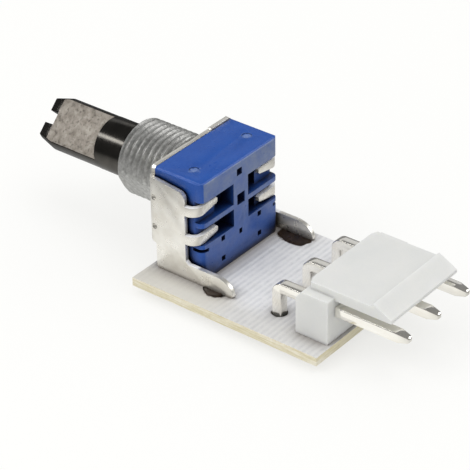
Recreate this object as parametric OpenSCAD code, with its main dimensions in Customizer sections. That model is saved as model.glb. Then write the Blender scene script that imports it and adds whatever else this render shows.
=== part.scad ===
// Rotary potentiometer lying on a small printed board, with a right-angle three-pin header.
// Millimetres. The origin is on the shaft's axis, in the face that meets the panel.
// +Y runs back from that face to the header, +Z is up and the shaft points to -Y.

/* [Board] */
// Width of the board, across the shaft
board_w = 18.3; // [17.6:0.1:24]
// Length of the board, along the shaft
board_l = 23.8; // [23.4:0.1:32]
// Thickness of the board
board_t = 1.0; // [0.8:0.1:1.6]
// How far the board's middle lies beside the shaft's axis
board_shift = 1.05; // [0.8:0.05:1.3]
// Distance from the panel face back to the board's front edge
board_setback = 0.2; // [0:0.05:0.8]
// Thickness of the copper on the underside
copper_t = 0.1; // [0.05:0.01:0.15]
// Width of each copper conductor
conductor_w = 0.9; // [0.5:0.1:1]

/* [Case] */
// Height of the shaft's axis above the board
axis_h = 7.5; // [7.3:0.05:7.7]
// Width of the blue case
case_w = 12.7; // [12.2:0.1:13.2]
// Depth of the blue case, along the shaft
case_d = 6.15; // [5.9:0.05:7]
// Height of the blue case above the board
case_h = 11.65; // [11.55:0.05:12.4]
// Thickness of the case's walls
case_wall = 0.6; // [0.45:0.05:0.65]
// Radius of the case's upright rear corners
case_corner_r = 0.7; // [0.4:0.05:0.9]
// Bevel along the case's top edges
case_bevel = 0.22; // [0.1:0.02:0.3]
// Width of the rib that stands between the rear grooves
rib_w = 2.4; // [2.2:0.1:3]
// Side of the small square window behind the pivot
window_w = 1.25; // [1:0.05:1.4]

/* [Frame] */
// Thickness of the tinned sheet
sheet_t = 0.5; // [0.4:0.05:0.6]
// Air between the sheet's sides and the case
side_air = 0.25; // [0.15:0.05:0.4]
// Depth of the side plates, back from the panel face
side_d = 4.9; // [4.5:0.1:5.1]
// Height of the side plates above the board
side_h = 10.75; // [10:0.05:11]
// Height at which the front plate ends, above the board
front_low = 3.3; // [2.8:0.1:3.6]
// Height of the upper fingers' middle above the board
upper_finger = 8.3; // [8.2:0.05:8.4]
// Height of the lower fingers' middle above the board
lower_finger = 4.85; // [4.75:0.05:4.95]
// Height of each finger where it leaves its side plate
finger_h = 1.1; // [0.9:0.05:1.2]
// Distance of the fingers' tips from the middle
finger_tip = 3.45; // [3.2:0.05:4]
// How deep the fingers' outer faces lie under the rear face
finger_sink = 0.35; // [0.2:0.05:0.45]
// Height of the feet
foot_h = 1.9; // [1.6:0.1:2.2]
// How far back from the panel face the feet reach
foot_reach = 11.1; // [10.8:0.1:12]
// Distance of the feet's tabs from the panel face, to their middle
tab_y = 8.65; // [8.4:0.05:8.8]
// Length of each tab
tab_l = 2.4; // [2:0.1:2.6]

/* [Bush and shaft] */
// Wall of the bush, from its bore to the thread's crests
bush_wall = 1.62; // [1.5:0.01:2.3]
// Length of the bush in front of the panel face
bush_l = 6.8; // [4:0.1:8]
// Distance between the thread's crests
thread_pitch = 0.75; // [0.5:0.05:1]
// Depth of the thread
thread_depth = 0.33; // [0.2:0.01:0.4]
// How deep the flat cuts into the bush's side
bush_flat_cut = 0.45; // [0.1:0.05:0.5]
// How far the flat is turned down from the +X side, in degrees
bush_flat_turn = 28; // [0:1:90]
// Diameter of the shaft
shaft_d = 6; // [5.8:0.02:6.06]
// How much finer the knob's seat is turned than the rest of the shaft, at the radius
seat_step = 0.02; // [0.01:0.01:0.05]
// Step from the shaft down to its journal in the bush, at the radius
journal_step = 0.4; // [0.3:0.05:0.6]
// Air between the journal and the bush's bore, at the radius
shaft_air = 0.03; // [0.01:0.01:0.08]
// Length of the shaft in front of the panel face
shaft_l = 19.5; // [16:0.1:30]
// Length of the milled flat, tip included
flat_l = 8.55; // [6:0.05:10]
// Size across the shaft over the milled flat
flat_across = 4.5; // [4:0.1:5]
// Width of the slot in the tip
slot_w = 1.4; // [1:0.1:1.6]
// Depth of the slot in the tip
slot_depth = 1.4; // [1:0.1:2]
// Full travel of the shaft, in degrees
travel = 300; // [270:1:306]
// How far the shaft is shown turned from its middle position, in degrees
shown_turn = 45; // [-100:1:100]

/* [Inside] */
// Thickness of the rotor's disc
rotor_t = 1.3; // [1.1:0.05:1.35]
// Thickness of the element plate
plate_t = 0.8; // [0.6:0.05:0.85]
// Distance between neighbouring terminals
terminal_pitch = 2.5; // [2.3:0.02:2.6]
// Width of a terminal
terminal_w = 0.9; // [0.7:0.05:0.95]
// Thickness of a terminal
terminal_t = 0.35; // [0.25:0.01:0.4]

/* [Header] */
// Distance between neighbouring header pins
pin_pitch = 5.08; // [4.9:0.02:5.2]
// Side of the square pins
pin_w = 1.14; // [0.9:0.02:1.2]
// Height of the pins' middle above the board
pin_h = 3.35; // [3.2:0.05:3.5]
// Distance from the panel face to the pins' upright legs
leg_y = 16.3; // [16:0.1:16.6]
// How far the pins reach past the housing's block
pin_reach = 8.7; // [7.6:0.1:12]
// How far the housing's block reaches past the outer pins' middles
block_margin = 1.82; // [1.4:0.02:2.2]
// Depth of the housing's block
block_d = 3.95; // [3.6:0.05:4.2]
// Height of the housing above the board
block_h = 5.9; // [5.8:0.05:6.4]
// Distance from the panel face to the block's rear side
block_y = 19.65; // [19.4:0.05:19.8]
// How far the lock wall reaches past the block
lock_l = 6.8; // [6:0.1:7.4]
// How far the lock wall's sides stand in from the block's
lock_inset = 1.15; // [0.7:0.05:1.4]
// How far the block's two side ledges lie below its top
ledge_drop = 0.8; // [0.6:0.05:1]
// Thickness of the lock wall
lock_t = 1.15; // [0.9:0.05:1.25]

/* [Hidden] */
$fn = 64;
far = 40;

// Board
board_z = -axis_h;
board_y0 = board_setback;
board_y1 = board_y0 + board_l;
under_z = board_z - board_t;
copper_z = under_z - copper_t;
lead_end = copper_z - 0.85;
solder_h = 0.6;
hole_air = 0.05;

// Case, and the room inside it
case_y0 = sheet_t + 0.05;
case_y1 = case_y0 + case_d;
case_top = board_z + case_h;
room_top = case_top - case_wall;
room_low = board_z + case_wall;
room_half = case_w / 2 - case_wall - 0.25;

// Stack of the inner pieces, from the bush's rear end backwards
ring_air = 0.05;
ring_t = 0.3;
stake_t = 0.2;
bush_y1 = sheet_t + stake_t;
ring_y = bush_y1 + ring_air;
stop_y = ring_y + ring_t + 0.12;
stop_t = 0.42;
rotor_y = stop_y + stop_t;
wiper_y = rotor_y + rotor_t;
wiper_t = 0.12;
contact_gap = 0.1;
spring_l = 0.45;
spring_w = 0.4;
track_t = 0.05;
track_y = wiper_y + wiper_t + spring_l + contact_gap;
plate_y = track_y + track_t;
plate_air = 0.05;
room_y1 = plate_y + plate_t + plate_air;

// Frame
frame_half = case_w / 2 + side_air + sheet_t;
bend_r = 0.8;
front_top = case_top + 0.03;
side_top = board_z + side_h;
finger_y = case_y1 - finger_sink;
finger_bend = 1.3;
side_front = 1.0;
front_air = 0.3;
relief_w = 0.55;
tab_drop = 0.75;
tab_narrow = 0.3;
foot_round = 2.3;
foot_air = 0.25;
oval_w = 2.1;
oval_l = tab_l + 0.7;
oval_pad = 0.22;
oval_x = frame_half - sheet_t / 2 - 0.15;

// Shaft and bush
shaft_r = shaft_d / 2;
seat_r = shaft_r - seat_step;
journal_r = shaft_r - journal_step;
bore_r = journal_r + shaft_air;
bush_r = bore_r + bush_wall;
bush_flat = bush_r - bush_flat_cut;
neck_wall = 0.77;
neck_r = bore_r + neck_wall;
stake_lip = 0.1;
stake_r = neck_r + stake_lip;
shoulder_y = -bush_l - 0.05;
flat_off = flat_across - shaft_r;
tip_y = -shaft_l;
tip_taper = 0.58;
tip_taper_l = 2.0;
flat_bevel = 0.4;
flat_bevel_l = slot_depth;
groove_depth = 0.5;
groove_r = journal_r - groove_depth;
ring_r = journal_r + groove_depth;
ring_mouth = 1.7 * groove_r;
spigot_r = 1.6;
spigot_flat = 1.2;
pivot_r = 0.9;
pivot_air = 0.06;
pivot_y1 = room_y1 + 0.75;

// Rotor and its stop
run_air = 0.15;
rotor_r = room_top - run_air;
hub_r = journal_r - 0.1;
post_w = 1.0;
post_top = -(hub_r + run_air);
stop_angle_air = 0.6;
stop_half = 180 - travel / 2 - asin(post_w / 2 / -post_top) - stop_angle_air;

// Tracks on the element plate, by radius
outer_w = 0.7;
inner_w = 0.6;
outer_r = rotor_r - 0.15;
outer_r0 = outer_r - outer_w;
inner_r = outer_r0 - 0.3;
inner_r0 = inner_r - inner_w;
track_sweep = 154;
rivet_r = 0.32;
rivet_head = 0.12;
lead_pad_r = 0.6;
lead_w = 0.5;
rivet_z = room_low + 1.35;

// Terminals
terminal_back = track_y;
terminal_leg_y = 2.2;
terminal_mid_y = terminal_leg_y + terminal_t / 2;
terminal_top = rivet_z + lead_w;

// Header
header_shift = 0.1;
header_x = board_shift - header_shift;
block_w = 2 * (pin_pitch + block_margin);
lock_w = block_w - 2 * lock_inset;
pin_z = board_z + pin_h;
block_y1 = block_y + block_d;
pin_end = block_y1 + pin_reach;
pin_bend = 1.25;
pin_point = 1.3;
block_top = board_z + block_h;
ledge_z = block_top - ledge_drop;
lock_y = block_y + 0.7;
leg_hole_r = pin_w / sqrt(2) + hole_air;
terminal_hole_r = norm([terminal_w, terminal_t]) / 2 + hole_air;
solder_pad_r = 1.3;

blue = [0.18, 0.35, 0.67];
tin = [0.86, 0.85, 0.81];
zinc = [0.6, 0.6, 0.58];
steel = [0.45, 0.44, 0.42];
board_white = [0.82, 0.82, 0.83];
nylon = [0.89, 0.89, 0.87];
copper = [0.78, 0.48, 0.3];
solder_grey = [0.75, 0.75, 0.76];
bronze = [0.8, 0.65, 0.4];

function terminal_x(i) = i * terminal_pitch;
function pin_x(i) = header_x + i * pin_pitch;
function arc(cx, cy, r, a0, a1, steps = 12) =
    [for (k = [0 : steps]) let (a = a0 + (a1 - a0) * k / steps) [cx + r * cos(a), cy + r * sin(a)]];

// A round bar along the shaft's direction
module rod(r, y0, y1) {
    translate([0, y0, 0]) rotate([-90, 0, 0]) cylinder(r = r, h = y1 - y0);
}

// A tapered bar along the shaft's direction
module tapered_rod(r0, r1, y0, y1) {
    translate([0, y0, 0]) rotate([-90, 0, 0]) cylinder(r1 = r0, r2 = r1, h = y1 - y0);
}

// An outline drawn seen from behind or in front, given its thickness along Y
module slab_y(y0, y1) {
    translate([0, y1, 0]) rotate([90, 0, 0]) linear_extrude(y1 - y0) children();
}

// An outline drawn seen from the side, given its thickness along X
module slab_x(x0, x1) {
    translate([x0, 0, 0]) rotate([90, 0, 90]) linear_extrude(x1 - x0) children();
}

// An outline drawn seen from above, given its height
module slab_z(z0, z1) {
    translate([0, 0, z0]) linear_extrude(z1 - z0) children();
}

module box(low, high) {
    translate(low) cube(high - low);
}

module both_sides() {
    children();
    mirror([1, 0, 0]) children();
}

// Rectangle seen from above that reaches back from y0 to y1, with round rear corners
module rear_rounded(half, y0, y1, r) {
    translate([-half, y0]) square([2 * half, y1 - y0 - r]);
    translate([r - half, y0]) square([2 * (half - r), y1 - y0]);
    for (s = [-1, 1]) translate([s * (half - r), y1 - r]) circle(r);
}

module front_rounded(half, y0, y1, r) {
    translate([0, y0 + y1]) mirror([0, 1]) rear_rounded(half, y0, y1, r);
}

// What turns with the shaft is drawn in its middle position, with the flat upwards
module turned() {
    rotate([0, shown_turn, 0]) children();
}

// Board

module oval_hole(grow = 0) {
    straight = oval_l - oval_w;
    for (s = [-1, 1]) translate([0, s * straight / 2]) circle(oval_w / 2 + grow);
    square([oval_w + 2 * grow, straight], center = true);
}

module board_holes(grow = 0) {
    for (i = [-1 : 1]) {
        translate([terminal_x(i), terminal_mid_y]) circle(terminal_hole_r + grow);
        translate([pin_x(i), leg_y]) circle(leg_hole_r + grow);
    }
    for (s = [-1, 1]) translate([s * oval_x, tab_y]) oval_hole(grow);
}

module board() {
    color(board_white) slab_z(under_z, board_z) difference() {
        translate([board_shift - board_w / 2, board_y0]) square([board_w, board_l]);
        board_holes();
    }
}

module conductor(start, end) {
    run = end - start;
    translate(start) circle(solder_pad_r - 0.15);
    translate(end) circle(solder_pad_r);
    translate(start) rotate(atan2(run[1], run[0]))
        translate([0, -conductor_w / 2]) square([norm(run), conductor_w]);
}

module board_tracks() {
    color(copper) slab_z(copper_z, under_z) difference() {
        union() {
            for (i = [-1 : 1]) conductor([terminal_x(i), terminal_mid_y], [pin_x(i), leg_y]);
            for (s = [-1, 1]) translate([s * oval_x, tab_y]) oval_hole(oval_pad);
        }
        board_holes();
    }
}

// Frame

// The tab goes down through the board and narrows below it
module tab_outline() {
    polygon([[tab_y - tab_l / 2, board_z + foot_air], [tab_y - tab_l / 2, under_z],
             [tab_y - tab_l / 2 + tab_narrow, under_z - tab_drop],
             [tab_y + tab_l / 2 - tab_narrow, under_z - tab_drop],
             [tab_y + tab_l / 2, under_z], [tab_y + tab_l / 2, board_z + foot_air]]);
}

module side_outline() {
    corner_r = 0.8;
    slope = 0.35;
    polygon(concat(
        [[0, board_z + front_low], [side_front, board_z + front_low - slope],
         [side_front, board_z + foot_air], [side_front + foot_air, board_z],
         [foot_reach - foot_air, board_z]],
        [for (k = [0 : 10]) let (a = 9 * k) [foot_reach - foot_round + foot_round * cos(a),
            board_z + foot_air + (foot_h - foot_air) * sin(a)]],
        [[side_d + slope, board_z + foot_h], [side_d, board_z + foot_h + slope]],
        arc(side_d - corner_r, side_top - slope - corner_r, corner_r, 0, 80, 8),
        [[side_front + 0.2, side_top], [0, side_top]]
    ));
    tab_outline();
}

// Fingers taper on their undersides from the bend to the tip
module finger_outline(middle) {
    low = board_z + middle - finger_h / 2;
    high = board_z + middle + finger_h / 2;
    polygon([[far, low], [frame_half - 1.2, low], [finger_tip + 0.15, low + 0.4],
             [finger_tip, low + 0.55], [finger_tip, high - 0.15], [finger_tip + 0.15, high], [far, high]]);
}

module finger_sheet() {
    slab_z(board_z, side_top) difference() {
        rear_rounded(frame_half, side_d - 0.4, finger_y, finger_bend);
        rear_rounded(frame_half - sheet_t, side_d - 1, finger_y - sheet_t, finger_bend - sheet_t);
    }
}

module front_plate_outline() {
    inner = frame_half - bend_r;
    step_x = -2.9;
    tongue = inner - relief_w;
    tongue_low = board_z + front_air;
    relief_top = board_z + front_low + 0.2;
    corner = 0.3;
    polygon([[-inner, board_z + front_low], [-tongue, relief_top], [-tongue, tongue_low + corner],
             [corner - tongue, tongue_low], [tongue - corner, tongue_low], [tongue, tongue_low + corner],
             [tongue, relief_top], [inner, board_z + front_low],
             [inner, front_top - 0.3], [inner - 0.3, front_top], [step_x, front_top],
             [step_x - 0.1, front_top + 0.15], [0.3 - inner, front_top + 0.15], [-inner, front_top - 0.15]]);
}

module frame() {
    color(tin) difference() {
        union() {
            slab_y(0, sheet_t) front_plate_outline();
            intersection() {
                slab_z(under_z - tab_drop, side_top) difference() {
                    front_rounded(frame_half, 0, far, bend_r);
                    front_rounded(frame_half - sheet_t, sheet_t, 2 * far, bend_r - sheet_t);
                    translate([bend_r - frame_half, -1]) square([2 * (frame_half - bend_r), far]);
                }
                slab_x(-frame_half, frame_half) side_outline();
            }
            both_sides() for (h = [upper_finger, lower_finger]) intersection() {
                finger_sheet();
                slab_y(side_d - 1, finger_y + 1) finger_outline(h);
            }
        }
        rod(neck_r, -1, sheet_t + 1);
    }
}

// Case

module case_body() {
    b = case_bevel;
    half = case_w / 2;
    intersection() {
        slab_z(board_z, case_top) rear_rounded(half, case_y0, case_y1, case_corner_r);
        slab_y(case_y0, case_y1) polygon([[-half, board_z], [half, board_z], [half, case_top - b],
            [half - b, case_top], [b - half, case_top], [-half, case_top - b]]);
        slab_x(-half, half) polygon([[case_y0, board_z], [case_y1, board_z], [case_y1, case_top - b],
            [case_y1 - b, case_top], [case_y0, case_top]]);
    }
}

// Room for the fingers: a band round each rear corner, and a deeper pocket beside the rib
module finger_groove(low, high) {
    floor_y = finger_y - sheet_t - 0.03;
    difference() {
        slab_z(board_z + low, board_z + high)
            translate([rib_w / 2, side_d - 0.6]) square([far, far]);
        slab_z(board_z, case_top)
            rear_rounded(frame_half - sheet_t - 0.03, case_y0, floor_y, finger_bend - sheet_t);
    }
    box([rib_w / 2, room_y1 + 0.45, board_z + low], [finger_tip - 0.1, far, board_z + high]);
}

module rear_slot(x, h, w, tall) {
    box([x - w / 2, case_y1 - 0.5, board_z + h - tall / 2], [x + w / 2, far, board_z + h + tall / 2]);
}

module stop_post() {
    box([-post_w / 2, stop_y + 0.04, room_low - 0.1], [post_w / 2, rotor_y - 0.05, post_top]);
}

module case() {
    color(blue) {
        difference() {
            case_body();
            box([-room_half, 0, room_low], [room_half, room_y1, room_top]);
            both_sides() {
                finger_groove(upper_finger - 1.45, upper_finger + 1.05);
                finger_groove(lower_finger - 0.65, lower_finger + 1.45);
                rear_slot(3.05, 3.75 - 0.05, 0.6, 0.6);
                rear_slot(3.05, 1.25, 0.6, 0.6);
                box([case_w / 2 - 0.95, case_y1 - 1.4, board_z + 3.35], [far, far, board_z + 3.75]);
                translate([4.35, case_y0 + 3.55, case_top - 0.08]) cylinder(r = 0.55, h = 1);
            }
            rod(pivot_r + pivot_air, room_y1 - 1, pivot_y1 + 0.1);
            box([-window_w / 2, pivot_y1, -window_w / 2 - 0.4], [window_w / 2, far, window_w / 2 - 0.4]);
            rear_slot(0.2, 10.4, 0.85, 0.8);
            rear_slot(0.1, 3.15, 0.5, 0.6);
            for (i = [-1 : 1]) translate([terminal_x(i), 0, 0])
                box([-terminal_w / 2 - hole_air, terminal_leg_y - hole_air, board_z - 1],
                    [terminal_w / 2 + hole_air, terminal_leg_y + terminal_t + hole_air, 0]);
        }
        stop_post();
    }
}

// Bush

// One crest of the thread, drawn as a ring and not as a helix
module thread_ring(y) {
    root_r = bush_r - thread_depth;
    flank = 0.2;
    crest = 0.08;
    tapered_rod(root_r, bush_r, y - crest - flank, y - crest);
    rod(bush_r, y - crest, y + crest);
    tapered_rod(bush_r, root_r, y + crest, y + crest + flank);
}

module bush() {
    chamfer = 0.35;
    first = 0.45;
    color(zinc) rotate([0, bush_flat_turn, 0]) difference() {
        union() {
            tapered_rod(bush_r - chamfer, bush_r - thread_depth, -bush_l, chamfer - bush_l);
            rod(bush_r - thread_depth, chamfer - bush_l, 0);
            for (y = [first - bush_l : thread_pitch : -0.3]) thread_ring(y);
            rod(neck_r, 0, bush_y1);
            rod(stake_r, sheet_t, bush_y1);
        }
        rod(bore_r, -bush_l - 1, bush_y1 + 1);
        box([bush_flat, -bush_l - 1, -far], [far, -0.001, far]);
    }
}

// Shaft and what turns with it

module spigot(r, y0, y1) {
    intersection() {
        rod(r, y0, y1);
        box([-spigot_flat, y0, -far], [spigot_flat, y1, far]);
    }
}

module shaft() {
    wide = 2 * shaft_d;
    color(steel) turned() {
        difference() {
            union() {
                tapered_rod(seat_r - tip_taper, seat_r, tip_y, tip_y + tip_taper_l);
                rod(seat_r, tip_y + tip_taper_l, tip_y + flat_l);
                rod(shaft_r, tip_y + flat_l, shoulder_y);
                rod(journal_r, shoulder_y, ring_y);
            }
            slab_x(-wide, wide) polygon([
                [tip_y + flat_l, wide], [tip_y + flat_l, flat_off], [tip_y + flat_bevel_l, flat_off],
                [tip_y - 1, flat_off - flat_bevel * (flat_bevel_l + 1) / flat_bevel_l], [tip_y - 1, wide]]);
            box([-slot_w / 2, tip_y - 1, -wide], [slot_w / 2, tip_y + slot_depth, wide]);
        }
        rod(groove_r, ring_y, ring_y + ring_t);
        rod(journal_r, ring_y + ring_t, stop_y);
        spigot(spigot_r, stop_y, wiper_y);
        rod(pivot_r, wiper_y, pivot_y1);
    }
}

module retaining_ring() {
    color(zinc) turned() difference() {
        rod(ring_r, ring_y + 0.01, ring_y + ring_t - 0.01);
        rod(groove_r, 0, far);
        box([-ring_mouth / 2, 0, -far], [ring_mouth / 2, far, 0]);
    }
}

module rotor() {
    color([0.12, 0.12, 0.13]) turned() difference() {
        union() {
            rod(hub_r, stop_y, rotor_y);
            intersection() {
                rod(rotor_r, stop_y, rotor_y);
                slab_y(stop_y, rotor_y)
                    polygon([[0, 0], far * [sin(stop_half), cos(stop_half)], far * [-sin(stop_half), cos(stop_half)]]);
            }
            rod(rotor_r, rotor_y, wiper_y);
        }
        spigot(spigot_r, 0, far);
        for (s = [-1, 1]) translate([s * 2.4, 0, 0]) rod(0.35, rotor_y + 0.3, far);
    }
}

// A spring arm that leans from the wiper's ring towards its track
module spring_arm(radius) {
    rise = wiper_t + spring_l;
    slab_x(radius - spring_w / 2, radius + spring_w / 2) polygon([
        [wiper_y, -0.9], [wiper_y + wiper_t, -0.9], [wiper_y + rise, 0.5], [wiper_y + rise - 0.02, 0.75],
        [wiper_y + rise - 0.14, 0.72], [wiper_y + rise - 0.14, 0.5], [wiper_y, -0.75]]);
}

// The ring stays whole inside the outer arm's window and outside the inner arm's
module wiper() {
    outer_x = (outer_r + outer_r0) / 2;
    inner_x = (inner_r + inner_r0) / 2;
    side = spring_w / 2 + 0.12;
    color(bronze) turned() {
        difference() {
            rod(rotor_r - 0.2, wiper_y, wiper_y + wiper_t);
            rod(inner_r0 - 0.1, 0, far);
            box([outer_x - side, 0, -0.8], [far, far, 0.95]);
            box([-inner_x - side, 0, -0.95], [0, far, 0.8]);
        }
        spring_arm(outer_x);
        rotate([0, 180, 0]) spring_arm(inner_x);
    }
}

// Element plate with its tracks

module element_plate() {
    color([0.45, 0.3, 0.16]) difference() {
        box([-room_half + 0.1, plate_y, room_low + 0.05], [room_half - 0.1, plate_y + plate_t, room_top - 0.05]);
        rod(pivot_r + 0.15, 0, far);
        for (i = [-1 : 1]) translate([terminal_x(i), 0, rivet_z]) rod(rivet_r, 0, far);
    }
}

module ring_sector(r0, r1, half_angle) {
    intersection() {
        difference() {
            circle(r1);
            circle(r0);
        }
        polygon(concat([[0, 0]], arc(0, 0, 3 * r1, 90 - half_angle, 90 + half_angle, 10)));
    }
}

module resistive_track() {
    color([0.08, 0.08, 0.08]) slab_y(track_y, plate_y) ring_sector(outer_r0, outer_r, track_sweep);
}

module collector_track() {
    color([0.1, 0.1, 0.1]) slab_y(track_y, plate_y) difference() {
        circle(inner_r);
        circle(inner_r0);
    }
}

// Silver conductors from the tracks down to the rivets, clear of each other
module silver_leads() {
    end_a = track_sweep;
    end_r = (outer_r + outer_r0) / 2;
    color([0.8, 0.8, 0.8]) slab_y(track_y, plate_y) difference() {
        union() {
            translate([-lead_w / 2, rivet_z]) square([lead_w, -inner_r0 - inner_w / 2 - rivet_z]);
            for (s = [-1, 1]) {
                x = s * end_r * sin(end_a);
                z = end_r * cos(end_a);
                run = [terminal_x(s), rivet_z] - [x, z];
                translate([x, z]) rotate(atan2(run[1], run[0]))
                    translate([0, -lead_w / 2]) square([norm(run), lead_w]);
            }
            for (i = [-1 : 1]) translate([terminal_x(i), rivet_z]) circle(lead_pad_r);
        }
        circle(inner_r);
        for (i = [-1 : 1]) translate([terminal_x(i), rivet_z]) circle(rivet_r);
        ring_sector(outer_r0, outer_r, track_sweep);
    }
}

module terminal(i) {
    tail = terminal_back - terminal_t;
    color(solder_grey) translate([terminal_x(i), 0, 0]) difference() {
        slab_x(-terminal_w / 2, terminal_w / 2) polygon([
            [terminal_back, terminal_top], [terminal_back, room_low + hole_air],
            [terminal_leg_y + terminal_t, room_low + hole_air], [terminal_leg_y + terminal_t, lead_end],
            [terminal_leg_y, lead_end], [terminal_leg_y, room_low + hole_air + terminal_t],
            [tail, room_low + hole_air + terminal_t], [tail, terminal_top]]);
        translate([0, 0, rivet_z]) rod(rivet_r, 0, far);
    }
}

module terminal_rivets() {
    head_y = terminal_back - terminal_t;
    color(bronze) for (i = [-1 : 1]) translate([terminal_x(i), 0, rivet_z]) {
        rod(rivet_r, head_y - rivet_head, plate_y + plate_t);
        rod(rivet_r + rivet_head, head_y - rivet_head, head_y);
    }
}

// Header

module pin_profile() {
    half = pin_w / 2;
    inner = pin_bend - pin_w;
    cy = leg_y - half + pin_bend;
    cz = pin_z + half - pin_bend;
    translate([leg_y - half, lead_end]) square([pin_w, cz - lead_end]);
    translate([cy, pin_z - half]) square([pin_end - cy, pin_w]);
    intersection() {
        translate([cy, cz]) difference() {
            circle(pin_bend);
            circle(inner);
        }
        translate([cy - pin_bend, cz]) square([pin_bend, pin_bend]);
    }
}

// Seen from above and from the side, the pin narrows to a blunt point
module pin_points(low, high, middle) {
    half = pin_w / 2;
    narrow = 0.36;
    blunt = 0.22;
    polygon([[low, middle - half], [high - pin_point, middle - half], [high - 0.2, middle - narrow],
             [high, middle - blunt], [high, middle + blunt], [high - 0.2, middle + narrow],
             [high - pin_point, middle + half], [low, middle + half]]);
}

module header_pin(i) {
    front = leg_y - pin_w;
    color(tin) translate([pin_x(i), 0, 0]) intersection() {
        slab_x(-pin_w / 2, pin_w / 2) pin_profile();
        union() {
            slab_x(-pin_w / 2, pin_w / 2) pin_points(front, pin_end, pin_z);
            box([-pin_w, front, lead_end], [pin_w, block_y, pin_z + pin_w]);
        }
        slab_z(lead_end, pin_z + pin_w) rotate(90) mirror([0, 1]) pin_points(front, pin_end, 0);
    }
}

// Seen from above, the lock wall with its two rear corners cut
module lock_outline() {
    half = lock_w / 2;
    cut_x = 0.7;
    cut_y = 0.35;
    polygon([[-half, block_y1 + lock_l], [half, block_y1 + lock_l], [half, lock_y + cut_y], [half - cut_x, lock_y],
             [cut_x - half, lock_y], [-half, lock_y + cut_y]]);
}

// The block has a ledge on both sides of the wall that stands up from it
module header_housing() {
    lip = 0.4;
    lip_y = block_y1 + lock_l - 2.4;
    wall_low = block_top - lock_t;
    color(nylon) translate([header_x, 0, 0]) difference() {
        union() {
            slab_x(-block_w / 2, block_w / 2) polygon([[block_y, board_z], [block_y, ledge_z - 0.9],
                [lock_y, ledge_z], [block_y1, ledge_z], [block_y1, board_z]]);
            intersection() {
                slab_x(-lock_w, lock_w) polygon([[lock_y - 0.1, wall_low], [lock_y, block_top], [lip_y, block_top],
                    [lip_y + 0.2, block_top + lip], [block_y1 + lock_l, block_top - 0.75],
                    [block_y1 + lock_l, wall_low]]);
                slab_z(wall_low, block_top + lip) lock_outline();
            }
        }
        for (i = [-1 : 1])
            box([i * pin_pitch - pin_w / 2, block_y - 1, pin_z - pin_w / 2],
                [i * pin_pitch + pin_w / 2, block_y1 + 1, pin_z + pin_w / 2]);
    }
}

// Solder

module fillet_of_solder(r) {
    translate([0, 0, copper_z - solder_h]) cylinder(r1 = r * 0.5, r2 = r, h = solder_h);
}

module terminal_solder() {
    color(solder_grey) for (i = [-1 : 1]) difference() {
        translate([terminal_x(i), terminal_mid_y, 0]) fillet_of_solder(solder_pad_r - 0.2);
        box([terminal_x(i) - terminal_w / 2, terminal_leg_y, -far],
            [terminal_x(i) + terminal_w / 2, terminal_leg_y + terminal_t, 0]);
    }
}

module header_solder() {
    color(solder_grey) for (i = [-1 : 1]) difference() {
        translate([pin_x(i), leg_y, 0]) fillet_of_solder(solder_pad_r);
        box([pin_x(i) - pin_w / 2, leg_y - pin_w / 2, -far], [pin_x(i) + pin_w / 2, leg_y + pin_w / 2, 0]);
    }
}

// The solder closes the oval hole from below and grips the tab
module frame_solder() {
    low_r = oval_w / 2 - 0.3;
    high_r = oval_w / 2 + oval_pad - 0.07;
    straight = oval_l - oval_w;
    low = copper_z - solder_h;
    color(solder_grey) both_sides() difference() {
        union() {
            for (s = [-1, 1]) translate([oval_x, tab_y + s * straight / 2, low])
                cylinder(r1 = low_r, r2 = high_r, h = solder_h);
            slab_y(tab_y - straight / 2, tab_y + straight / 2) polygon([[oval_x - low_r, low],
                [oval_x + low_r, low], [oval_x + high_r, copper_z], [oval_x - high_r, copper_z]]);
        }
        slab_x(frame_half - sheet_t, frame_half) tab_outline();
    }
}

board();
board_tracks();
frame();
bush();
shaft();
retaining_ring();
case();
rotor();
wiper();
element_plate();
resistive_track();
collector_track();
silver_leads();
terminal_rivets();
terminal(1);  // terminal_left
terminal(0);  // terminal_centre
terminal(-1);  // terminal_right
header_housing();
header_pin(1);  // header_pin_left
header_pin(0);  // header_pin_centre
header_pin(-1);  // header_pin_right
terminal_solder();
header_solder();
frame_solder();
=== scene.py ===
"""The looks of a rotary potentiometer on its board, with a right-angle header, around its CAD model.

The frame is the CAD model's. Its origin is on the shaft's axis in the panel face, +Y runs back to the
header and +Z up.
"""

import math

import bmesh
import bpy
from mathutils import Matrix, Vector


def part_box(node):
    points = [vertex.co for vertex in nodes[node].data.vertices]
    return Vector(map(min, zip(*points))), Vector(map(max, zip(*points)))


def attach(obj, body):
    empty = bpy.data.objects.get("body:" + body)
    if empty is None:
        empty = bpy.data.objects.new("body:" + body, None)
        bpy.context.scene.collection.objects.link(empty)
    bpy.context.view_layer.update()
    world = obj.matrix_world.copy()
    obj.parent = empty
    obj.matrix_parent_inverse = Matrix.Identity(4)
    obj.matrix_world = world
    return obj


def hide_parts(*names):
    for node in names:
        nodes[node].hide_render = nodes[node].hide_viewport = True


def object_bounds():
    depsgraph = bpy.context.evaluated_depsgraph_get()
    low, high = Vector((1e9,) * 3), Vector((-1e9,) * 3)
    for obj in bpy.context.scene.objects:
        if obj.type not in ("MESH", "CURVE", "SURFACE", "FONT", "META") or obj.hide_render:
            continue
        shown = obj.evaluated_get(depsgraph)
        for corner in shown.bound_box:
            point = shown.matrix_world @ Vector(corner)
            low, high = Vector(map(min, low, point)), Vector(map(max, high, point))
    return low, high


MM = 0.001

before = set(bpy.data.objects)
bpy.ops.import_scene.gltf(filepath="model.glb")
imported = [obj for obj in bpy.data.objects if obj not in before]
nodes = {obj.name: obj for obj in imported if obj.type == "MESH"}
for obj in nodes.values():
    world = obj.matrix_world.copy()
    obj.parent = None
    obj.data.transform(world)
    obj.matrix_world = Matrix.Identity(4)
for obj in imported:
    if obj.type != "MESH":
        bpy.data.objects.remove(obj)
cad_low, cad_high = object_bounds()


# Camera

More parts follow.
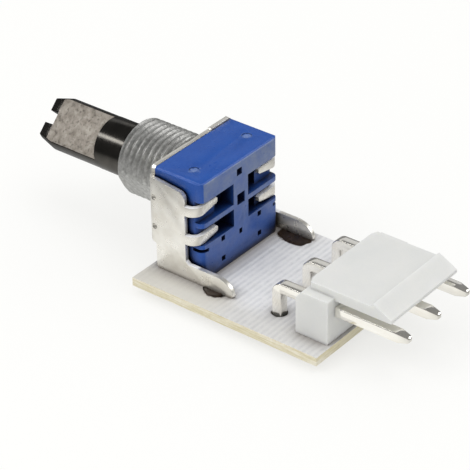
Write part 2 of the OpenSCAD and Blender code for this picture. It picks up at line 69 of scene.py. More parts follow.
CAMERA_AZIMUTH = math.radians(128.74)
CAMERA_ELEVATION = math.radians(32.708)
CAMERA_ROLL = math.radians(-0.953)
CAMERA_DISTANCE = 235.68 * MM
CAMERA_TARGET = Vector((1.421, 6.947, -4.162)) * MM
FOCAL_PIXELS = 2261.7
PHOTO_PIXELS = 470
SENSOR = 36.0


def place_camera():
    """The camera stands behind the part, to its +X side, and looks down at it."""
    back = Vector((
        math.sin(CAMERA_AZIMUTH) * math.cos(CAMERA_ELEVATION),
        -math.cos(CAMERA_AZIMUTH) * math.cos(CAMERA_ELEVATION),
        math.sin(CAMERA_ELEVATION),
    ))
    level = Vector((math.cos(CAMERA_AZIMUTH), math.sin(CAMERA_AZIMUTH), 0.0))
    upright = back.cross(level)
    right = level * math.cos(CAMERA_ROLL) + upright * math.sin(CAMERA_ROLL)
    up = upright * math.cos(CAMERA_ROLL) - level * math.sin(CAMERA_ROLL)
    bpy.ops.object.camera_add()
    camera = bpy.context.active_object
    camera.name = "camera"
    turn = Matrix((right, up, back)).transposed()
    camera.matrix_world = Matrix.Translation(CAMERA_TARGET + back * CAMERA_DISTANCE) @ turn.to_4x4()
    camera.data.sensor_width = SENSOR
    camera.data.lens = FOCAL_PIXELS * SENSOR / PHOTO_PIXELS
    camera.data.clip_start = 10 * MM
    camera.data.clip_end = 5.0
    bpy.context.scene.camera = camera


# Materials

def screen(red, green, blue):
    """A colour given as it shows on a screen, from 0 to 255, as the shader's linear colour."""
    shares = (red / 255, green / 255, blue / 255)
    return tuple(((c + 0.055) / 1.055) ** 2.4 for c in shares) + (1.0,)


def link(tree, out, into):
    tree.links.new(out, into)


def add_node(tree, kind, **values):
    node = tree.nodes.new(kind)
    for name, value in values.items():
        setattr(node, name, value)
    return node


def make_grain_group():
    """Soft uneven patches: a value between Low and High, and a height for a bump."""
    group = bpy.data.node_groups.new("grain", "ShaderNodeTree")
    for name, kind, start in (
        ("Vector", "NodeSocketVector", None),
        ("Scale", "NodeSocketFloat", 1000.0),
        ("Low", "NodeSocketFloat", 0.0),
        ("High", "NodeSocketFloat", 1.0),
    ):
        socket = group.interface.new_socket(name, in_out="INPUT", socket_type=kind)
        if start is not None:
            socket.default_value = start
    group.interface.new_socket("Value", in_out="OUTPUT", socket_type="NodeSocketFloat")
    group.interface.new_socket("Height", in_out="OUTPUT", socket_type="NodeSocketFloat")
    inside = add_node(group, "NodeGroupInput")
    outside = add_node(group, "NodeGroupOutput")
    noise = add_node(group, "ShaderNodeTexNoise")
    noise.inputs["Detail"].default_value = 4.0
    noise.inputs["Roughness"].default_value = 0.6
    spread = add_node(group, "ShaderNodeMapRange")
    spread.inputs["From Min"].default_value = 0.3
    spread.inputs["From Max"].default_value = 0.7
    link(group, inside.outputs["Vector"], noise.inputs["Vector"])
    link(group, inside.outputs["Scale"], noise.inputs["Scale"])
    link(group, noise.outputs["Fac"], spread.inputs["Value"])
    link(group, inside.outputs["Low"], spread.inputs["To Min"])
    link(group, inside.outputs["High"], spread.inputs["To Max"])
    link(group, spread.outputs["Result"], outside.inputs["Value"])
    link(group, noise.outputs["Fac"], outside.inputs["Height"])
    return group


def make_edge_highlight_group():
    """A mask that is white on outer edges, for a painted highlight there, broken up by noise."""
    group = bpy.data.node_groups.new("painted_edge_highlight", "ShaderNodeTree")
    for name, kind, start in (
        ("Vector", "NodeSocketVector", None),
        ("Width", "NodeSocketFloat", 0.1 * MM),
        ("Strength", "NodeSocketFloat", 4.0),
    ):
        socket = group.interface.new_socket(name, in_out="INPUT", socket_type=kind)
        if start is not None:
            socket.default_value = start
    group.interface.new_socket("Mask", in_out="OUTPUT", socket_type="NodeSocketFloat")
    inside = add_node(group, "NodeGroupInput")
    outside = add_node(group, "NodeGroupOutput")
    rounded = add_node(group, "ShaderNodeBevel", samples=4)
    flat = add_node(group, "ShaderNodeNewGeometry")
    dot = add_node(group, "ShaderNodeVectorMath", operation="DOT_PRODUCT")
    turned = add_node(group, "ShaderNodeMath", operation="SUBTRACT")
    turned.inputs[0].default_value = 1.0
    noise = add_node(group, "ShaderNodeTexNoise")
    noise.inputs["Scale"].default_value = 1500.0
    amount = add_node(group, "ShaderNodeMath", operation="MULTIPLY")
    mask = add_node(group, "ShaderNodeMath", operation="MULTIPLY", use_clamp=True)
    link(group, inside.outputs["Width"], rounded.inputs["Radius"])
    link(group, rounded.outputs["Normal"], dot.inputs[0])
    link(group, flat.outputs["Normal"], dot.inputs[1])
    link(group, dot.outputs["Value"], turned.inputs[1])
    link(group, inside.outputs["Vector"], noise.inputs["Vector"])
    link(group, noise.outputs["Fac"], amount.inputs[0])
    link(group, inside.outputs["Strength"], amount.inputs[1])
    link(group, turned.outputs["Value"], mask.inputs[0])
    link(group, amount.outputs["Value"], mask.inputs[1])
    link(group, mask.outputs["Value"], outside.inputs["Mask"])
    return group


GRAIN = make_grain_group()
EDGE_HIGHLIGHT_GROUP = make_edge_highlight_group()


class Finish:
    """One material under way: its tree, its shader and the object's own coordinates."""

    def __init__(self, name, metallic=0.0, ior=1.5):
        self.material = bpy.data.materials.new(name)
        self.material.use_nodes = True
        self.tree = self.material.node_tree
        self.shader = self.tree.nodes["Principled BSDF"]
        self.shader.inputs["Metallic"].default_value = metallic
        self.shader.inputs["IOR"].default_value = ior
        self.place = add_node(self.tree, "ShaderNodeTexCoord").outputs["Object"]
        self.height = None

    def grain(self, scale, low, high, stretch=(1, 1, 1)):
        """A grain group at a scale in patches per metre, stretched along an axis."""
        group = add_node(self.tree, "ShaderNodeGroup", node_tree=GRAIN)
        mapping = add_node(self.tree, "ShaderNodeMapping")
        mapping.inputs["Scale"].default_value = stretch
        link(self.tree, self.place, mapping.inputs["Vector"])
        link(self.tree, mapping.outputs["Vector"], group.inputs["Vector"])
        group.inputs["Scale"].default_value = scale
        group.inputs["Low"].default_value = low
        group.inputs["High"].default_value = high
        return group

    # Mask for a painted highlight along the outer edges.
    def edge_highlight_mask(self, width, strength):
        group = add_node(self.tree, "ShaderNodeGroup", node_tree=EDGE_HIGHLIGHT_GROUP)
        link(self.tree, self.place, group.inputs["Vector"])
        group.inputs["Width"].default_value = width
        group.inputs["Strength"].default_value = strength
        return group.outputs["Mask"]

    def crevice_shade_mask(self, reach, dark, clear):
        """A mask that is white in gaps and deep corners, where little light gets in, for painted shade
        there.
        """
        node = add_node(self.tree, "ShaderNodeAmbientOcclusion", samples=8)
        node.inputs["Distance"].default_value = reach
        spread = add_node(self.tree, "ShaderNodeMapRange")
        spread.inputs["From Min"].default_value = dark
        spread.inputs["From Max"].default_value = clear
        spread.inputs["To Min"].default_value = 1.0
        spread.inputs["To Max"].default_value = 0.0
        link(self.tree, node.outputs["AO"], spread.inputs["Value"])
        return spread.outputs["Result"]

    def coordinates(self):
        """The object's own X, Y and Z, each as a number."""
        parts = add_node(self.tree, "ShaderNodeSeparateXYZ")
        link(self.tree, self.place, parts.inputs["Vector"])
        return parts.outputs["X"], parts.outputs["Y"], parts.outputs["Z"]

    def spot(self, x, y, half_x, half_y, soft, ragged):
        """A mask for an oval mark with a ragged rim, seen from above."""
        place_x, place_y = self.coordinates()[:2]
        across = self.math("MULTIPLY", self.math("SUBTRACT", place_x, x), 1 / half_x)
        along = self.math("MULTIPLY", self.math("SUBTRACT", place_y, y), 1 / half_y)
        across_squared = self.math("MULTIPLY", across, across)
        along_squared = self.math("MULTIPLY", along, along)
        squared = self.math("ADD", across_squared, along_squared)
        distance = self.math("ADD", self.math("SQRT", squared, 0.0), ragged)
        return self.math("MULTIPLY", self.math("SUBTRACT", 1.0, distance), 1 / soft, clamp=True)

    def mix(self, mask, first, second):
        """Two colours, or the outputs that carry them, mixed by a mask."""
        node = add_node(self.tree, "ShaderNodeMix", data_type="RGBA")
        link(self.tree, mask, node.inputs["Factor"])
        for value, socket in ((first, node.inputs[6]), (second, node.inputs[7])):
            if isinstance(value, tuple):
                socket.default_value = value
            else:
                link(self.tree, value, socket)
        return node.outputs[2]

    def colour(self, value):
        link(self.tree, value, self.shader.inputs["Base Color"])

    def roughness(self, value):
        link(self.tree, value, self.shader.inputs["Roughness"])

    def bump(self, height, depth):
        """A bump from a height between 0 and 1, laid over the bumps before it."""
        node = add_node(self.tree, "ShaderNodeBump")
        node.inputs["Strength"].default_value = 1.0
        node.inputs["Distance"].default_value = depth
        link(self.tree, height, node.inputs["Height"])
        if self.height is not None:
            link(self.tree, self.height, node.inputs["Normal"])
        self.height = node.outputs["Normal"]
        link(self.tree, self.height, self.shader.inputs["Normal"])

    def math(self, operation, first, second, clamp=False):
        node = add_node(self.tree, "ShaderNodeMath", operation=operation, use_clamp=clamp)
        for value, socket in ((first, node.inputs[0]), (second, node.inputs[1])):
            if isinstance(value, (int, float)):
                socket.default_value = value
            else:
                link(self.tree, value, socket)
        return node.outputs["Value"]


# Blue case

EJECTOR_MARKS = ((4.35, 4.1), (-4.35, 4.1))
EJECTOR_RADIUS = 0.62 * MM
EJECTOR_SOFT = 0.55
CASE_TOP = 4.15 * MM


def ejector_mask(finish):
    """White on the pale round marks that the mould's ejector pins left on the top."""
    ragged = finish.grain(4200.0, -0.6, 0.6).outputs["Value"]
    total = None
    for x, y in EJECTOR_MARKS:
        mask = finish.spot(x * MM, y * MM, EJECTOR_RADIUS, EJECTOR_RADIUS, EJECTOR_SOFT, ragged)
        total = mask if total is None else finish.math("ADD", total, mask, clamp=True)
    on_top = finish.math("GREATER_THAN", finish.coordinates()[2], CASE_TOP - 0.25 * MM)
    return finish.math("MULTIPLY", total, on_top)


# Small openings in the rear face: middle, height and half width, in millimetres
WINDOWS = (
    (3.05, -3.8, 0.42),
    (-3.05, -3.8, 0.42),
    (3.05, -6.25, 0.42),
    (-3.05, -6.25, 0.42),
    (0.2, 2.9, 0.55),
    (0.1, -4.35, 0.42),
    (0.0, -0.4, 0.75),
)
WINDOW_DEPTH = 6.55 * MM
REAR_FACE = 6.62 * MM
# A painted reflection greys the rear face upward from here, over this height, mixed with scuffs at this
# share.
REAR_SHEEN_FROM = -9.5 * MM
REAR_SHEEN_RISE = 13.5 * MM
SHEEN_AND_SCUFF_SHARE = 0.82
BLUE_GLOSS = 0.26


def window_shade_mask(finish):
    """White inside the small openings, where no light gets in, for the painted shade there."""
    place_x, place_y, place_z = finish.coordinates()
    total = None
    for x, z, half in WINDOWS:
        across = finish.math("ABSOLUTE", finish.math("SUBTRACT", place_x, x * MM), 0.0)
        upward = finish.math("ABSOLUTE", finish.math("SUBTRACT", place_z, z * MM), 0.0)
        reach = finish.math("MAXIMUM", across, upward)
        mask = finish.math("LESS_THAN", reach, half * MM)
        total = mask if total is None else finish.math("MAXIMUM", total, mask)
    behind = finish.math("LESS_THAN", place_y, WINDOW_DEPTH)
    return finish.math("MULTIPLY", total, behind)


def sheen_and_scuff_mask(finish):
    """White where the rear face is dull and greyish, most of all near its top: a painted reflection
    that grows upward, broken up by scuffs.
    """
    place_y, place_z = finish.coordinates()[1:]
    on_rear = finish.math("GREATER_THAN", place_y, REAR_FACE)
    above = finish.math("SUBTRACT", place_z, REAR_SHEEN_FROM)
    height = finish.math("MULTIPLY", above, 1 / REAR_SHEEN_RISE, clamp=True)
    cloud = finish.grain(380.0, 0.35, 1.0).outputs["Value"]
    fine = finish.grain(2800.0, 0.7, 1.0).outputs["Value"]
    amount = finish.math("MULTIPLY", finish.math("MULTIPLY", height, cloud), fine)
    return finish.math("MULTIPLY", on_rear, finish.math("MULTIPLY", amount, SHEEN_AND_SCUFF_SHARE))


def make_blue_plastic():
    """The case's blue: two soft tones, pale marks, a painted highlight on its edges, a rear greyed by a
    painted reflection and scuffs, and painted shade in its gaps and openings.
    """
    finish = Finish("blue_moulding", ior=1.6)
    patches = finish.grain(420.0, 0.0, 1.0).outputs["Value"]
    blue = finish.mix(patches, screen(27, 73, 156), screen(32, 81, 167))
    speckle = finish.grain(5200.0, 0.0, 0.22).outputs["Value"]
    blue = finish.mix(speckle, blue, screen(70, 116, 190))
    # Painted highlight: the case's outer edges are lightened.
    edges = finish.math("MULTIPLY", finish.edge_highlight_mask(0.16 * MM, 5.0), 0.55)
    blue = finish.mix(edges, blue, screen(105, 140, 200))
    marks = finish.math("MULTIPLY", ejector_mask(finish), 0.42)
    blue = finish.mix(marks, blue, screen(150, 170, 205))
    # Painted reflection with scuffs, greying the rear face towards its top.
    blue = finish.mix(sheen_and_scuff_mask(finish), blue, screen(146, 154, 160))
    # Painted shade: near-black in the gaps and grooves, such as between the frame and the case.
    blue = finish.mix(finish.crevice_shade_mask(2.6 * MM, 0.4, 0.93), blue, screen(9, 12, 32))
    # Painted shade: the floors inside the small openings are dark.
    finish.colour(finish.mix(window_shade_mask(finish), blue, screen(15, 22, 48)))
    finish.roughness(finish.grain(900.0, 0.26, 0.38).outputs["Value"])
    finish.shader.inputs["Specular IOR Level"].default_value = BLUE_GLOSS
    finish.bump(finish.grain(7000.0, 0.0, 1.0).outputs["Height"], 0.012 * MM)
    finish.bump(finish.grain(700.0, 0.0, 1.0).outputs["Height"], 0.03 * MM)
    return finish.material


# Metals

GLINT_FROM = 4.7 * MM
GLINT_TO = 6.7 * MM
GLINT_FADE = 0.3 * MM
GLINT_SLOPE = 0.35


def glint_mask(finish):
    """White on the upper edges of the frame's bends, for a painted highlight where they catch the
    light.
    """
    shape = add_node(finish.tree, "ShaderNodeNewGeometry")
    parts = add_node(finish.tree, "ShaderNodeSeparateXYZ")
    link(finish.tree, shape.outputs["Normal"], parts.inputs["Vector"])
    steep = finish.math("SUBTRACT", parts.outputs["Z"], GLINT_SLOPE)
    upward = finish.math("MULTIPLY", steep, 5.0, clamp=True)
    place_y = finish.coordinates()[1]
    past = finish.math("SUBTRACT", place_y, GLINT_FROM)
    begun = finish.math("MULTIPLY", past, 1 / GLINT_FADE, clamp=True)
    left = finish.math("SUBTRACT", GLINT_TO, place_y)
    unended = finish.math("MULTIPLY", left, 1 / GLINT_FADE, clamp=True)
    return finish.math("MULTIPLY", upward, finish.math("MULTIPLY", begun, unended))


def make_metal(name, dark, light, rough, metallic=1.0, patch=600.0, grit=4000.0,
               grit_depth=0.006, edge=None, crevice_shade=None, stretch=(1, 1, 1), bend_highlights=False):
    """A metal with two patchy tones, uneven shine and fine grit, and, if asked, a painted highlight on
    its edges and bends and painted shade in its creases.
    """
    finish = Finish(name, metallic=metallic)
    tone = finish.mix(finish.grain(patch, 0.0, 1.0, stretch).outputs["Value"], dark, light)
    if edge is not None:
        # Painted highlight on the outer edges.
        tone = finish.mix(finish.edge_highlight_mask(0.12 * MM, 4.0), tone, edge)
    if crevice_shade is not None:
        # Painted shade in creases and narrow gaps.
        tone = finish.mix(finish.crevice_shade_mask(0.7 * MM, 0.35, 0.85), tone, crevice_shade)
    # Painted highlight on the frame's bends: white, and less metallic.
    if bend_highlights:
        glints = glint_mask(finish)
        tone = finish.mix(glints, tone, screen(255, 255, 255))
        dull = finish.math("SUBTRACT", 1.0, glints)
        link(finish.tree, finish.math("MULTIPLY", dull, metallic), finish.shader.inputs["Metallic"])
    finish.colour(tone)
    finish.roughness(finish.grain(patch * 1.7, rough[0], rough[1], stretch).outputs["Value"])
    finish.bump(finish.grain(grit, 0.0, 1.0, stretch).outputs["Height"], grit_depth * MM)
    return finish.material


def make_tinned_sheet():
    """The frame's dull tin: warm and pale, with painted highlights on its edges and bends, and painted
    shade with brown dirt beside the case.
    """
    return make_metal(
        "tin_plate", screen(231, 227, 217), screen(248, 246, 239), (0.24, 0.38), metallic=0.72,
        patch=620.0, grit=1800.0, grit_depth=0.005, edge=screen(250, 249, 246),
        crevice_shade=screen(128, 120, 108), bend_highlights=True,
    )


def make_shaft_metal():
    """Dark polished metal with fine rings left by the lathe."""
    finish = Finish("dark_polished_shaft", metallic=1.0)
    finish.colour(finish.mix(
        finish.grain(900.0, 0.0, 1.0).outputs["Value"], screen(88, 86, 82), screen(104, 101, 96)))
    finish.roughness(finish.grain(1500.0, 0.15, 0.24, (0.3, 3.0, 0.3)).outputs["Value"])
    finish.bump(finish.grain(600.0, 0.0, 1.0, (0.2, 14.0, 0.2)).outputs["Height"], 0.007 * MM)
    return finish.material


def make_milled_flat():
    """The milled flat is matt and mottled, with small dark pits and a painted highlight along its
    edges.
    """
    finish = Finish("milled_flat", metallic=0.35)
    tone = finish.mix(
        finish.grain(1300.0, 0.0, 1.0).outputs["Value"], screen(122, 114, 104), screen(190, 183, 173))
    tone = finish.mix(finish.grain(4500.0, 0.0, 0.55).outputs["Value"], tone, screen(152, 144, 134))
    pits = finish.math("MULTIPLY", finish.grain(2300.0, -1.25, 1.0).outputs["Value"], 1.0, clamp=True)
    tone = finish.mix(finish.math("MULTIPLY", pits, 0.75), tone, screen(70, 62, 54))
    # Painted highlight along the flat's edges.
    finish.colour(finish.mix(finish.edge_highlight_mask(0.1 * MM, 6.0), tone, screen(232, 229, 224)))
    finish.roughness(finish.grain(2400.0, 0.45, 0.62).outputs["Value"])
    finish.bump(finish.grain(3000.0, 0.0, 1.0).outputs["Height"], 0.02 * MM)
    return finish.material


# Board, header and inner pieces

BOARD_FRONT = 0.2 * MM
RIB_PITCH = 0.65 * MM
RIB_HEIGHT = 0.035 * MM
# The strip beside the frame: where it begins along X, where its plain part ends along Y
STRIP_START = 6.4 * MM
STRIP_FADE = 1.8 * MM
STRIP_END = 12.5 * MM
STRIP_END_FADE = 3.5 * MM
# Flux stains on the white face: middle, then half widths, in millimetres
STAINS = (
    (-6.15, 9.1, 1.35, 2.15),
    (6.95, 8.65, 1.1, 1.45),
    (-4.13, 16.3, 0.95, 0.95),
    (0.95, 16.3, 0.95, 0.95),
    (6.03, 16.3, 0.95, 0.95),
)


def valley_shade_mask(finish):
    """White in the valleys between the board's ribs, grey on their slopes, for painted shade in the
    valleys.
    """
    along = finish.math("SUBTRACT", finish.coordinates()[1], BOARD_FRONT)
    wave = finish.math("COSINE", finish.math("MULTIPLY", along, 2 * math.pi / RIB_PITCH), 0.0)
    return finish.math("MULTIPLY", finish.math("ADD", wave, 1.0), 0.5)


def stain_mask(finish):
    """White where flux ran out round the tabs and the header's legs."""
    ragged = finish.grain(900.0, -0.22, 0.22).outputs["Value"]
    total = None
    for x, y, half_x, half_y in STAINS:
        mask = finish.spot(x * MM, y * MM, half_x * MM, half_y * MM, 0.16, ragged)
        total = mask if total is None else finish.math("ADD", total, mask, clamp=True)
    return total


def strip_masks(finish):
    """White on the strip outside the frame, and then on its front part alone, where no ribs show."""
    place_x, place_y = finish.coordinates()[:2]
    outward = finish.math("SUBTRACT", place_x, STRIP_START)
    outside = finish.math("MULTIPLY", outward, 1 / STRIP_FADE, clamp=True)
    forward = finish.math("SUBTRACT", STRIP_END, place_y)
    beside = finish.math("MULTIPLY", forward, 1 / STRIP_END_FADE, clamp=True)
    return outside, finish.math("MULTIPLY", finish.math("MULTIPLY", outside, beside), 0.9)


def make_white_print():
    """The board's white face: painted shade between its ribs and beside the parts on it, warmer beside
    the frame, brown round the holes.
    """
    finish = Finish("white_board_face")
    tone = finish.mix(
        finish.grain(300.0, 0.0, 1.0).outputs["Value"], screen(240, 240, 241), screen(250, 250, 250))
    tone = finish.mix(finish.grain(4200.0, 0.0, 0.25).outputs["Value"], tone, screen(206, 206, 209))
    # Painted shade in the valleys between the ribs, broken up by noise.
    gaps = finish.grain(1100.0, 0.1, 0.6).outputs["Value"]
    broken = finish.math("MULTIPLY", valley_shade_mask(finish), gaps)
    tone = finish.mix(broken, tone, screen(199, 200, 205))
    beyond_frame, plain = strip_masks(finish)
    tone = finish.mix(plain, tone, screen(236, 233, 225))
    tone = finish.mix(finish.math("MULTIPLY", beyond_frame, 0.35), tone, screen(196, 192, 181))
    # Painted shadow, brownish, beside and under the frame's foot and the case.
    under = finish.math("MULTIPLY", finish.crevice_shade_mask(2.0 * MM, 0.4, 0.97), 0.8)
    tone = finish.mix(under, tone, screen(112, 100, 90))
    stains = finish.math("MULTIPLY", stain_mask(finish), 0.9)
    finish.colour(finish.mix(stains, tone, screen(62, 50, 38)))
    finish.roughness(finish.grain(800.0, 0.38, 0.52).outputs["Value"])
    finish.bump(finish.grain(3600.0, 0.0, 1.0, (0.4, 1.4, 1.0)).outputs["Height"], 0.014 * MM)
    return finish.material


def make_laminate():
    """The cut edges and the bare underside: tan, with thin layers that show from the side, and painted
    shade in holes and gaps.
    """
    finish = Finish("tan_laminate")
    layers = finish.grain(900.0, 0.0, 1.0, (0.4, 0.4, 7.0))
    tone = finish.mix(layers.outputs["Value"], screen(214, 204, 160), screen(250, 245, 230))
    tone = finish.mix(finish.grain(2600.0, 0.0, 0.3).outputs["Value"], tone, screen(200, 184, 142))
    # Painted shade, dark brown, in the holes and gaps.
    finish.colour(finish.mix(finish.crevice_shade_mask(1.2 * MM, 0.15, 0.6), tone, screen(46, 36, 26)))
    finish.roughness(finish.grain(1500.0, 0.5, 0.7).outputs["Value"])
    finish.bump(layers.outputs["Height"], 0.02 * MM)
    return finish.material


def make_nylon():
    """The header's white, slightly translucent plastic, with painted shade in its inner corners."""
    finish = Finish("white_nylon")
    tone = finish.mix(
        finish.grain(260.0, 0.0, 1.0).outputs["Value"], screen(222, 223, 221), screen(228, 228, 225))
    tone = finish.mix(finish.grain(5000.0, 0.0, 0.12).outputs["Value"], tone, screen(206, 207, 206))
    # Painted shade in the inner corners and along the lock wall's step.
    corners = finish.math("MULTIPLY", finish.crevice_shade_mask(0.35 * MM, 0.3, 0.95), 0.6)
    finish.colour(finish.mix(corners, tone, screen(176, 176, 174)))
    finish.roughness(finish.grain(1100.0, 0.40, 0.52).outputs["Value"])
    finish.bump(finish.grain(1300.0, 0.0, 1.0).outputs["Height"], 0.02 * MM)
    finish.shader.inputs["Subsurface Weight"].default_value = 0.55
    finish.shader.inputs["Subsurface Radius"].default_value = (1.0, 1.0, 0.9)
    finish.shader.inputs["Subsurface Scale"].default_value = 0.8 * MM
    return finish.material


def make_plastic(name, dark, light, rough=(0.4, 0.55)):
    """Plain moulded or pressed stuff inside the case."""
    finish = Finish(name)
    finish.colour(finish.mix(finish.grain(1200.0, 0.0, 1.0).outputs["Value"], dark, light))
    finish.roughness(finish.grain(1500.0, rough[0], rough[1]).outputs["Value"])
    finish.bump(finish.grain(5000.0, 0.0, 1.0).outputs["Height"], 0.01 * MM)
    return finish.material


TIN = make_tinned_sheet()
# Cast zinc, with a painted highlight on its edges and painted shade in its thread valleys and corners.
ZINC = make_metal(
    "cast_zinc", screen(146, 146, 143), screen(204, 204, 201), (0.28, 0.44), metallic=0.55,
    patch=2600.0, grit=3600.0, grit_depth=0.035, edge=screen(236, 236, 233),
    crevice_shade=screen(98, 98, 96),
)
SHAFT = make_shaft_metal()
MILLED = make_milled_flat()
BLUE = make_blue_plastic()
WHITE_FACE = make_white_print()
LAMINATE = make_laminate()
NYLON = make_nylon()
PIN = make_metal(
    "bright_tin", screen(248, 244, 234), screen(254, 252, 246), (0.07, 0.15), metallic=0.85,
    patch=700.0, grit=1400.0, grit_depth=0.002, stretch=(1.5, 0.5, 1.5),
)
SOLDER = make_metal(
    "solder", screen(178, 178, 180), screen(206, 206, 206), (0.16, 0.34), patch=900.0)
COPPER = make_metal(
    "copper_foil", screen(168, 104, 62), screen(196, 130, 84), (0.3, 0.5), patch=700.0)
BRONZE = make_metal("spring_bronze", screen(176, 134, 78), screen(198, 158, 98), (0.25, 0.4))
SPRING_STEEL = make_metal("spring_steel", screen(110, 110, 110), screen(138, 138, 138), (0.25, 0.4))
SILVER = make_metal("silver_ink", screen(176, 176, 174), screen(200, 200, 198), (0.4, 0.6))
FLUX = make_plastic("brown_flux", screen(36, 26, 19), screen(64, 49, 37), (0.22, 0.42))
BLACK = make_plastic("black_moulding", screen(22, 22, 24), screen(34, 34, 36))
PHENOLIC = make_plastic("brown_phenolic", screen(92, 58, 32), screen(116, 76, 44))
CARBON = make_plastic("carbon_ink", screen(14, 14, 14), screen(28, 28, 28), (0.5, 0.7))


# Modelling helpers

SMOOTH_BELOW = math.radians(32.0)
SMOOTH_BELOW_SOFT = math.radians(50.0)


def select_only(piece):
    bpy.ops.object.select_all(action="DESELECT")
    piece.select_set(True)
    bpy.context.view_layer.objects.active = piece


def apply_modifier(piece, kind, **values):
    select_only(piece)
    modifier = piece.modifiers.new(kind.lower(), kind)
    for name, value in values.items():
        setattr(modifier, name, value)
    bpy.ops.object.modifier_apply(modifier=modifier.name)


def paint(piece, *materials):
    piece.data.materials.clear()
    for material in materials:
        piece.data.materials.append(material)


def merged_copy(node, name):
    """A copy of a solid, with its flat faces joined up."""
    select_only(nodes[node])
    bpy.ops.object.duplicate()
    piece = bpy.context.active_object
    piece.name = name
    piece.parent = None
    for key in [k for k in piece.keys() if k.startswith("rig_")]:
        del piece[key]
    bpy.ops.object.mode_set(mode="EDIT")
    bpy.ops.mesh.select_all(action="SELECT")
    bpy.ops.mesh.remove_doubles(threshold=0.001 * MM)
    bpy.ops.mesh.dissolve_limited(angle_limit=math.radians(0.1))
    bpy.ops.mesh.customdata_custom_splitnormals_clear()
    bpy.ops.object.mode_set(mode="OBJECT")
    return piece


def round_edges(piece, edge, segments=2, sharp=30.0, kept=None):
    """Rounds the piece's sharp edges, apart from those that kept says stay as they are."""
    mesh = bmesh.new()
    mesh.from_mesh(piece.data)
    weight = mesh.edges.layers.float.new("bevel_weight_edge")
    for line in mesh.edges:
        is_sharp = line.calc_face_angle(0.0) > math.radians(sharp)
        stays = kept is not None and kept(line)
        line[weight] = 1.0 if is_sharp and not stays else 0.0
    mesh.to_mesh(piece.data)
    mesh.free()
    apply_modifier(piece, "BEVEL", width=edge, segments=segments, limit_method="WEIGHT")
    select_only(piece)
    bpy.ops.object.shade_smooth_by_angle(angle=SMOOTH_BELOW)


def rounded_copy(node, name, edge, segments=2):
    piece = merged_copy(node, name)
    round_edges(piece, edge, segments)
    return piece


def close_ends(mesh):
    """Caps the selected ring and the one that is still open, and turns all faces outward."""
    bpy.ops.mesh.edge_face_add()
    bpy.ops.mesh.select_all(action="DESELECT")
    for edge in mesh.edges:
        if edge.is_boundary:
            edge.select_set(True)
    bpy.ops.mesh.edge_face_add()
    bpy.ops.mesh.select_all(action="SELECT")
    bpy.ops.mesh.normals_make_consistent(inside=False)
    bpy.ops.object.mode_set(mode="OBJECT")


def joined(pieces, name):
    """The pieces as one object, with its soft forms shaded smooth."""
    bpy.ops.object.select_all(action="DESELECT")
    for piece in pieces:
        piece.select_set(True)
    bpy.context.view_layer.objects.active = pieces[0]
    bpy.ops.object.join()
    whole = bpy.context.active_object
    whole.name = name
    bpy.context.scene.cursor.location = (0.0, 0.0, 0.0)
    bpy.ops.object.origin_set(type="ORIGIN_CURSOR")
    bpy.ops.object.shade_smooth_by_angle(angle=SMOOTH_BELOW_SOFT)
    return whole


def dress(piece, body, node, slot, *materials):
    """The piece rides on its body and stands for its solid."""
    if materials:
        paint(piece, *materials)
    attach(piece, body)
    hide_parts(node)


# Shaft

SHOWN_TURN = math.radians(45.0)
FLAT_NORMAL = Vector((math.sin(SHOWN_TURN), 0.0, math.cos(SHOWN_TURN)))
FLAT_DISTANCE = 1.5 * MM
SEAT_END = -10.95 * MM
SEAT_RADIUS = 2.98 * MM
SHAFT_EDGE = 0.07 * MM


def on_seat_step(line):
    """True for the fine step round the shaft where the knob's seat ends."""
    for vertex in line.verts:
        x, y, z = vertex.co
        if abs(y - SEAT_END) > 0.002 * MM or math.hypot(x, z) < SEAT_RADIUS - 0.005 * MM:
            return False
    return True


def make_shaft():
    shaft = merged_copy("shaft", "polished_shaft")
    round_edges(shaft, SHAFT_EDGE, kept=on_seat_step)
    paint(shaft, SHAFT, MILLED)
    for face in shaft.data.polygons:
        on_flat = abs(face.center.dot(FLAT_NORMAL) - FLAT_DISTANCE) < 0.02 * MM
        if on_flat and face.normal.dot(FLAT_NORMAL) > 0.999:
            face.material_index = 1
    dress(shaft, "spindle", "shaft", "shaft_metal")


# Bush

BUSH_RADIUS = 4.25 * MM
BUSH_LENGTH = 6.8 * MM
BUSH_FLAT = 3.8 * MM
BUSH_FLAT_TURN = math.radians(-28.0)
BUSH_CHAMFER = 0.35 * MM
THREAD_PITCH = 0.75 * MM
THREAD_DEPTH = 0.31 * MM
THREAD_FULLNESS = 0.8
# How far from the flat's middle the thread begins, and over what angle it grows to its depth
THREAD_WORN = math.radians(22.0)
THREAD_FADE = math.radians(35.0)
WORN_DEPTH = 0.04 * MM
BORE_RADIUS = 2.63 * MM
BORE_CHAMFER = 0.15 * MM
NECK_RADIUS = 3.4 * MM
NECK_END = 0.7 * MM
THREAD_AROUND = 160
THREAD_ALONG = 114


def thread_radius(around, y):
    """Radius of the threaded bush at an angle and a place along it, with its chamfer and its flat."""
    turn = (y / THREAD_PITCH - around / (2 * math.pi)) % 1.0
    ridge = (0.5 + 0.5 * math.cos(2 * math.pi * turn)) ** THREAD_FULLNESS
    from_tip = y + BUSH_LENGTH
    runout = min(1.0, max(0.0, -y / (0.5 * THREAD_PITCH)))
    from_flat = math.acos(math.cos(around - BUSH_FLAT_TURN))
    worn = min(1.0, max(0.0, (from_flat - THREAD_WORN) / THREAD_FADE))
    depth = THREAD_DEPTH * runout * worn
    radius = BUSH_RADIUS - depth * (1.0 - ridge)
    radius -= WORN_DEPTH * (1.0 - worn)
    radius = min(radius, BUSH_RADIUS - BUSH_CHAMFER + from_tip)
    toward_flat = math.cos(around - BUSH_FLAT_TURN)
    if toward_flat > 0.0:
        radius = min(radius, BUSH_FLAT / toward_flat)
    return radius


